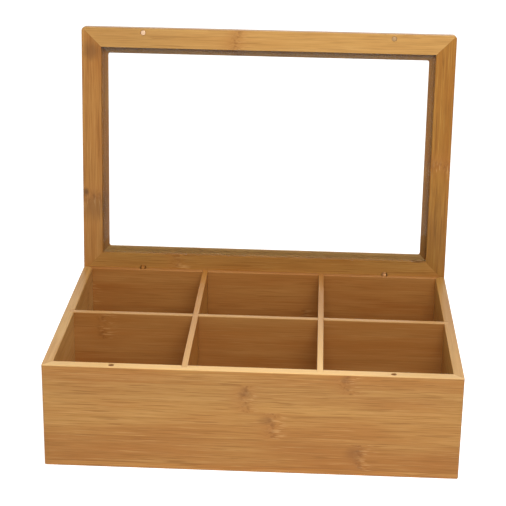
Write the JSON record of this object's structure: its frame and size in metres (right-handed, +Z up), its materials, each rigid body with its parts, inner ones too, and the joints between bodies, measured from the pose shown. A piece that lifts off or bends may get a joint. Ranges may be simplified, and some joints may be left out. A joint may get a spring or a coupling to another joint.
{
  "type": "tea bag organizer box",
  "caption": "Flat rectangular bamboo tea box with a hinged windowed lid over a grid of square compartments.",
  "frame": {"origin": "centre of the box's underside, on the surface it stands on", "axes": "+X to the right seen from the front, +Y towards the hinged back, +Z up; the lid is open at rest"},
  "size_m": [0.29, 0.2191, 0.2688],
  "materials": {
    "bamboo_wall": "satin clear-lacquered laminated bamboo, grain along each panel",
    "bamboo_lid": "satin clear-lacquered bamboo, grain along each frame member",
    "bamboo_divider": "satin bamboo strip, paler sawn top edges",
    "bamboo_base": "thin bamboo panel",
    "clear_window": "clear flat pane",
    "hinge_brass": "plain turned brass",
    "magnet_nickel": "nickel-plated disc"
  },
  "bodies": {
    "box": {"front_panel": "bamboo_wall", "back_panel": "bamboo_wall", "left_panel": "bamboo_wall", "right_panel": "bamboo_wall", "bottom_panel": "bamboo_base", "long_divider": "bamboo_divider", "cross_divider_left": "bamboo_divider", "cross_divider_right": "bamboo_divider", "box_magnet_left": "magnet_nickel", "box_magnet_right": "magnet_nickel", "hinge_left_box_barrel": "hinge_brass", "hinge_right_box_barrel": "hinge_brass", "hinge_left_pin": "hinge_brass", "hinge_right_pin": "hinge_brass"},
    "lid": {"lid_front_rail": "bamboo_lid", "lid_rear_rail": "bamboo_lid", "lid_left_stile": "bamboo_lid", "lid_right_stile": "bamboo_lid", "lid_window": "clear_window", "lid_magnet_left": "magnet_nickel", "lid_magnet_right": "magnet_nickel", "hinge_left_lid_barrel": "hinge_brass", "hinge_right_lid_barrel": "hinge_brass"}
  },
  "joints": [
    {"name": "lid_hinge", "type": "hinge", "parent": "box", "child": "lid", "pos_m": [0, 0.0944, 0.07715], "axis": [1, 0, 0], "range_deg": [0, 95]}
  ]
}
